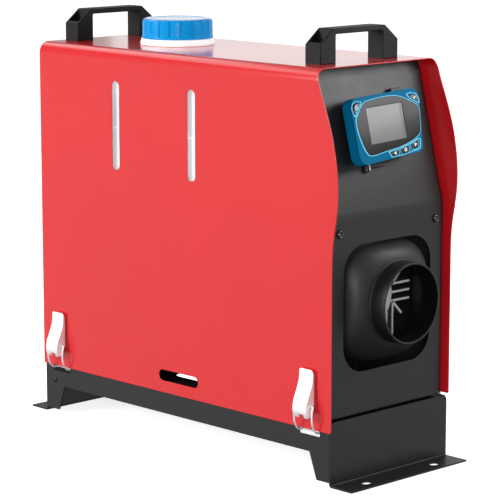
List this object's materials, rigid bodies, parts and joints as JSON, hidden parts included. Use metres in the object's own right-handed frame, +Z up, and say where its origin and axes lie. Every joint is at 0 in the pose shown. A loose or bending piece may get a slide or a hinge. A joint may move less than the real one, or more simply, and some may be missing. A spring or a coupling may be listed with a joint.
{
  "type": "diesel air heater",
  "caption": "Portable diesel air heater in a sheet-metal case with carrying handles, toggle latches, a fuel tank with screw cap, a round warm-air outlet and a hand controller.",
  "frame": {"origin": "middle of the footprint on the ground: bottom centre of the bounding box", "axes": "+Z up; the warm-air outlet and the controller face -Y; X across the width"},
  "size_m": [0.1846, 0.452, 0.4073],
  "materials": {
    "black_coat": "satin dark-grey powder coat",
    "red_coat": "high-gloss red coat",
    "handle_plastic": "satin moulded plastic",
    "black_plastic": "satin moulded plastic",
    "black_rubber": "matt",
    "bright_zinc": "bright zinc plate",
    "cast_aluminium": "cast, satin",
    "steel": "satin",
    "tank_plastic": "translucent blow-moulded plastic",
    "white_plastic": "semi-gloss",
    "blue_plastic": "glossy top, satin sides",
    "controller_blue": "semi-gloss",
    "dark_gloss": "high gloss",
    "display_grey": "glossy, display off",
    "button_dark": "semi-gloss"
  },
  "bodies": {
    "case": {"base_tray": "black_coat", "front_foot": "black_coat", "rear_foot": "black_coat", "front_panel": "black_coat", "rear_panel": "black_coat", "panel_screw_left": "black_coat", "panel_screw_right": "black_coat", "tray_screw_left": "black_coat", "tray_screw_right": "black_coat", "hood": "red_coat", "handle_front": "handle_plastic", "handle_rear": "handle_plastic", "rear_grille": "black_plastic", "core_shell_upper": "black_plastic", "core_shell_lower": "black_plastic", "control_unit": "black_plastic", "core_inlet_guard": "black_plastic", "intake_stub": "black_plastic", "outlet_shroud": "black_plastic", "controller_holder": "black_plastic", "cable_grommet": "black_rubber", "pump_clamp": "black_rubber", "fuel_line_tank": "black_rubber", "fuel_line_burner": "black_rubber", "core_mount_front": "bright_zinc", "core_mount_rear": "bright_zinc", "tank_cradle": "bright_zinc", "heat_exchanger": "cast_aluminium", "burner_housing": "cast_aluminium", "glow_plug": "steel", "blower_motor": "steel", "exhaust_stub": "steel", "fuel_pump": "steel", "fuel_tank": "tank_plastic", "tank_neck_ring": "white_plastic", "controller_body": "controller_blue", "controller_face": "dark_gloss", "controller_display": "display_grey", "latch_base_left_front": "bright_zinc", "latch_base_left_rear": "bright_zinc", "latch_base_right_front": "bright_zinc", "latch_base_right_rear": "bright_zinc"},
    "blower": {"blower_wheel": "black_plastic"},
    "cap_liner": {"cap_seal": "black_rubber"},
    "cap": {"fuel_cap": "blue_plastic"},
    "key_power": {"button_power": "button_dark"},
    "key_ok": {"button_ok": "button_dark"},
    "key_left": {"button_left": "button_dark"},
    "key_set": {"button_set": "button_dark"},
    "key_right": {"button_right": "button_dark"},
    "lever_left_front": {"latch_lever_left_front": "bright_zinc"},
    "bail_left_front": {"latch_bail_left_front": "bright_zinc"},
    "lever_left_rear": {"latch_lever_left_rear": "bright_zinc"},
    "bail_left_rear": {"latch_bail_left_rear": "bright_zinc"},
    "lever_right_front": {"latch_lever_right_front": "bright_zinc"},
    "bail_right_front": {"latch_bail_right_front": "bright_zinc"},
    "lever_right_rear": {"latch_lever_right_rear": "bright_zinc"},
    "bail_right_rear": {"latch_bail_right_rear": "bright_zinc"}
  },
  "joints": [
    {"name": "blower_spin", "type": "hinge", "parent": "case", "child": "blower", "pos_m": [0, 0.1, 0.161], "axis": [0, 1, 0], "continuous": true},
    {"name": "cap_lift", "type": "slide", "parent": "case", "child": "cap_liner", "axis": [0, 0, 1], "range_m": [0, 0.0161]},
    {"name": "cap_turn", "type": "hinge", "parent": "cap_liner", "child": "cap", "pos_m": [0, 0.086, 0.39], "axis": [0, 0, 1], "range_deg": [0, 1080]},
    {"name": "press_power", "type": "slide", "parent": "case", "child": "key_power", "axis": [0, 0.9703, -0.2419], "range_m": [0, 0.0008], "stiffness_N_per_m": 400, "springref_m": -0.001},
    {"name": "press_ok", "type": "slide", "parent": "case", "child": "key_ok", "axis": [0, 0.9703, -0.2419], "range_m": [0, 0.0008], "stiffness_N_per_m": 400, "springref_m": -0.001},
    {"name": "press_left", "type": "slide", "parent": "case", "child": "key_left", "axis": [0, 0.9703, -0.2419], "range_m": [0, 0.0008], "stiffness_N_per_m": 400, "springref_m": -0.001},
    {"name": "press_set", "type": "slide", "parent": "case", "child": "key_set", "axis": [0, 0.9703, -0.2419], "range_m": [0, 0.0008], "stiffness_N_per_m": 400, "springref_m": -0.001},
    {"name": "press_right", "type": "slide", "parent": "case", "child": "key_right", "axis": [0, 0.9703, -0.2419], "range_m": [0, 0.0008], "stiffness_N_per_m": 400, "springref_m": -0.001},
    {"name": "lever_left_front", "type": "hinge", "parent": "case", "child": "lever_left_front", "pos_m": [-0.0864, -0.1742, 0.0663], "axis": [0, -1, 0], "range_deg": [0, 130]},
    {"name": "bail_left_front", "type": "hinge", "parent": "lever_left_front", "child": "bail_left_front", "pos_m": [-0.0856, -0.1742, 0.0733], "axis": [0, -1, 0], "range_deg": [-156, 0]},
    {"name": "lever_left_rear", "type": "hinge", "parent": "case", "child": "lever_left_rear", "pos_m": [-0.0864, 0.1754, 0.0663], "axis": [0, -1, 0], "range_deg": [0, 130]},
    {"name": "bail_left_rear", "type": "hinge", "parent": "lever_left_rear", "child": "bail_left_rear", "pos_m": [-0.0856, 0.1754, 0.0733], "axis": [0, -1, 0], "range_deg": [-156, 0]},
    {"name": "lever_right_front", "type": "hinge", "parent": "case", "child": "lever_right_front", "pos_m": [0.0864, -0.1742, 0.0663], "axis": [0, 1, 0], "range_deg": [0, 130]},
    {"name": "bail_right_front", "type": "hinge", "parent": "lever_right_front", "child": "bail_right_front", "pos_m": [0.0856, -0.1742, 0.0733], "axis": [0, 1, 0], "range_deg": [-156, 0]},
    {"name": "lever_right_rear", "type": "hinge", "parent": "case", "child": "lever_right_rear", "pos_m": [0.0864, 0.1754, 0.0663], "axis": [0, 1, 0], "range_deg": [0, 130]},
    {"name": "bail_right_rear", "type": "hinge", "parent": "lever_right_rear", "child": "bail_right_rear", "pos_m": [0.0856, 0.1754, 0.0733], "axis": [0, 1, 0], "range_deg": [-156, 0]}
  ],
  "couplings": [
    {"joint": "cap_lift", "follows": "cap_turn", "m_per_rad": 0.000849},
    {"joint": "bail_left_front", "follows": "lever_left_front", "ratio": -1.2},
    {"joint": "bail_left_rear", "follows": "lever_left_rear", "ratio": -1.2},
    {"joint": "bail_right_front", "follows": "lever_right_front", "ratio": -1.2},
    {"joint": "bail_right_rear", "follows": "lever_right_rear", "ratio": -1.2}
  ]
}
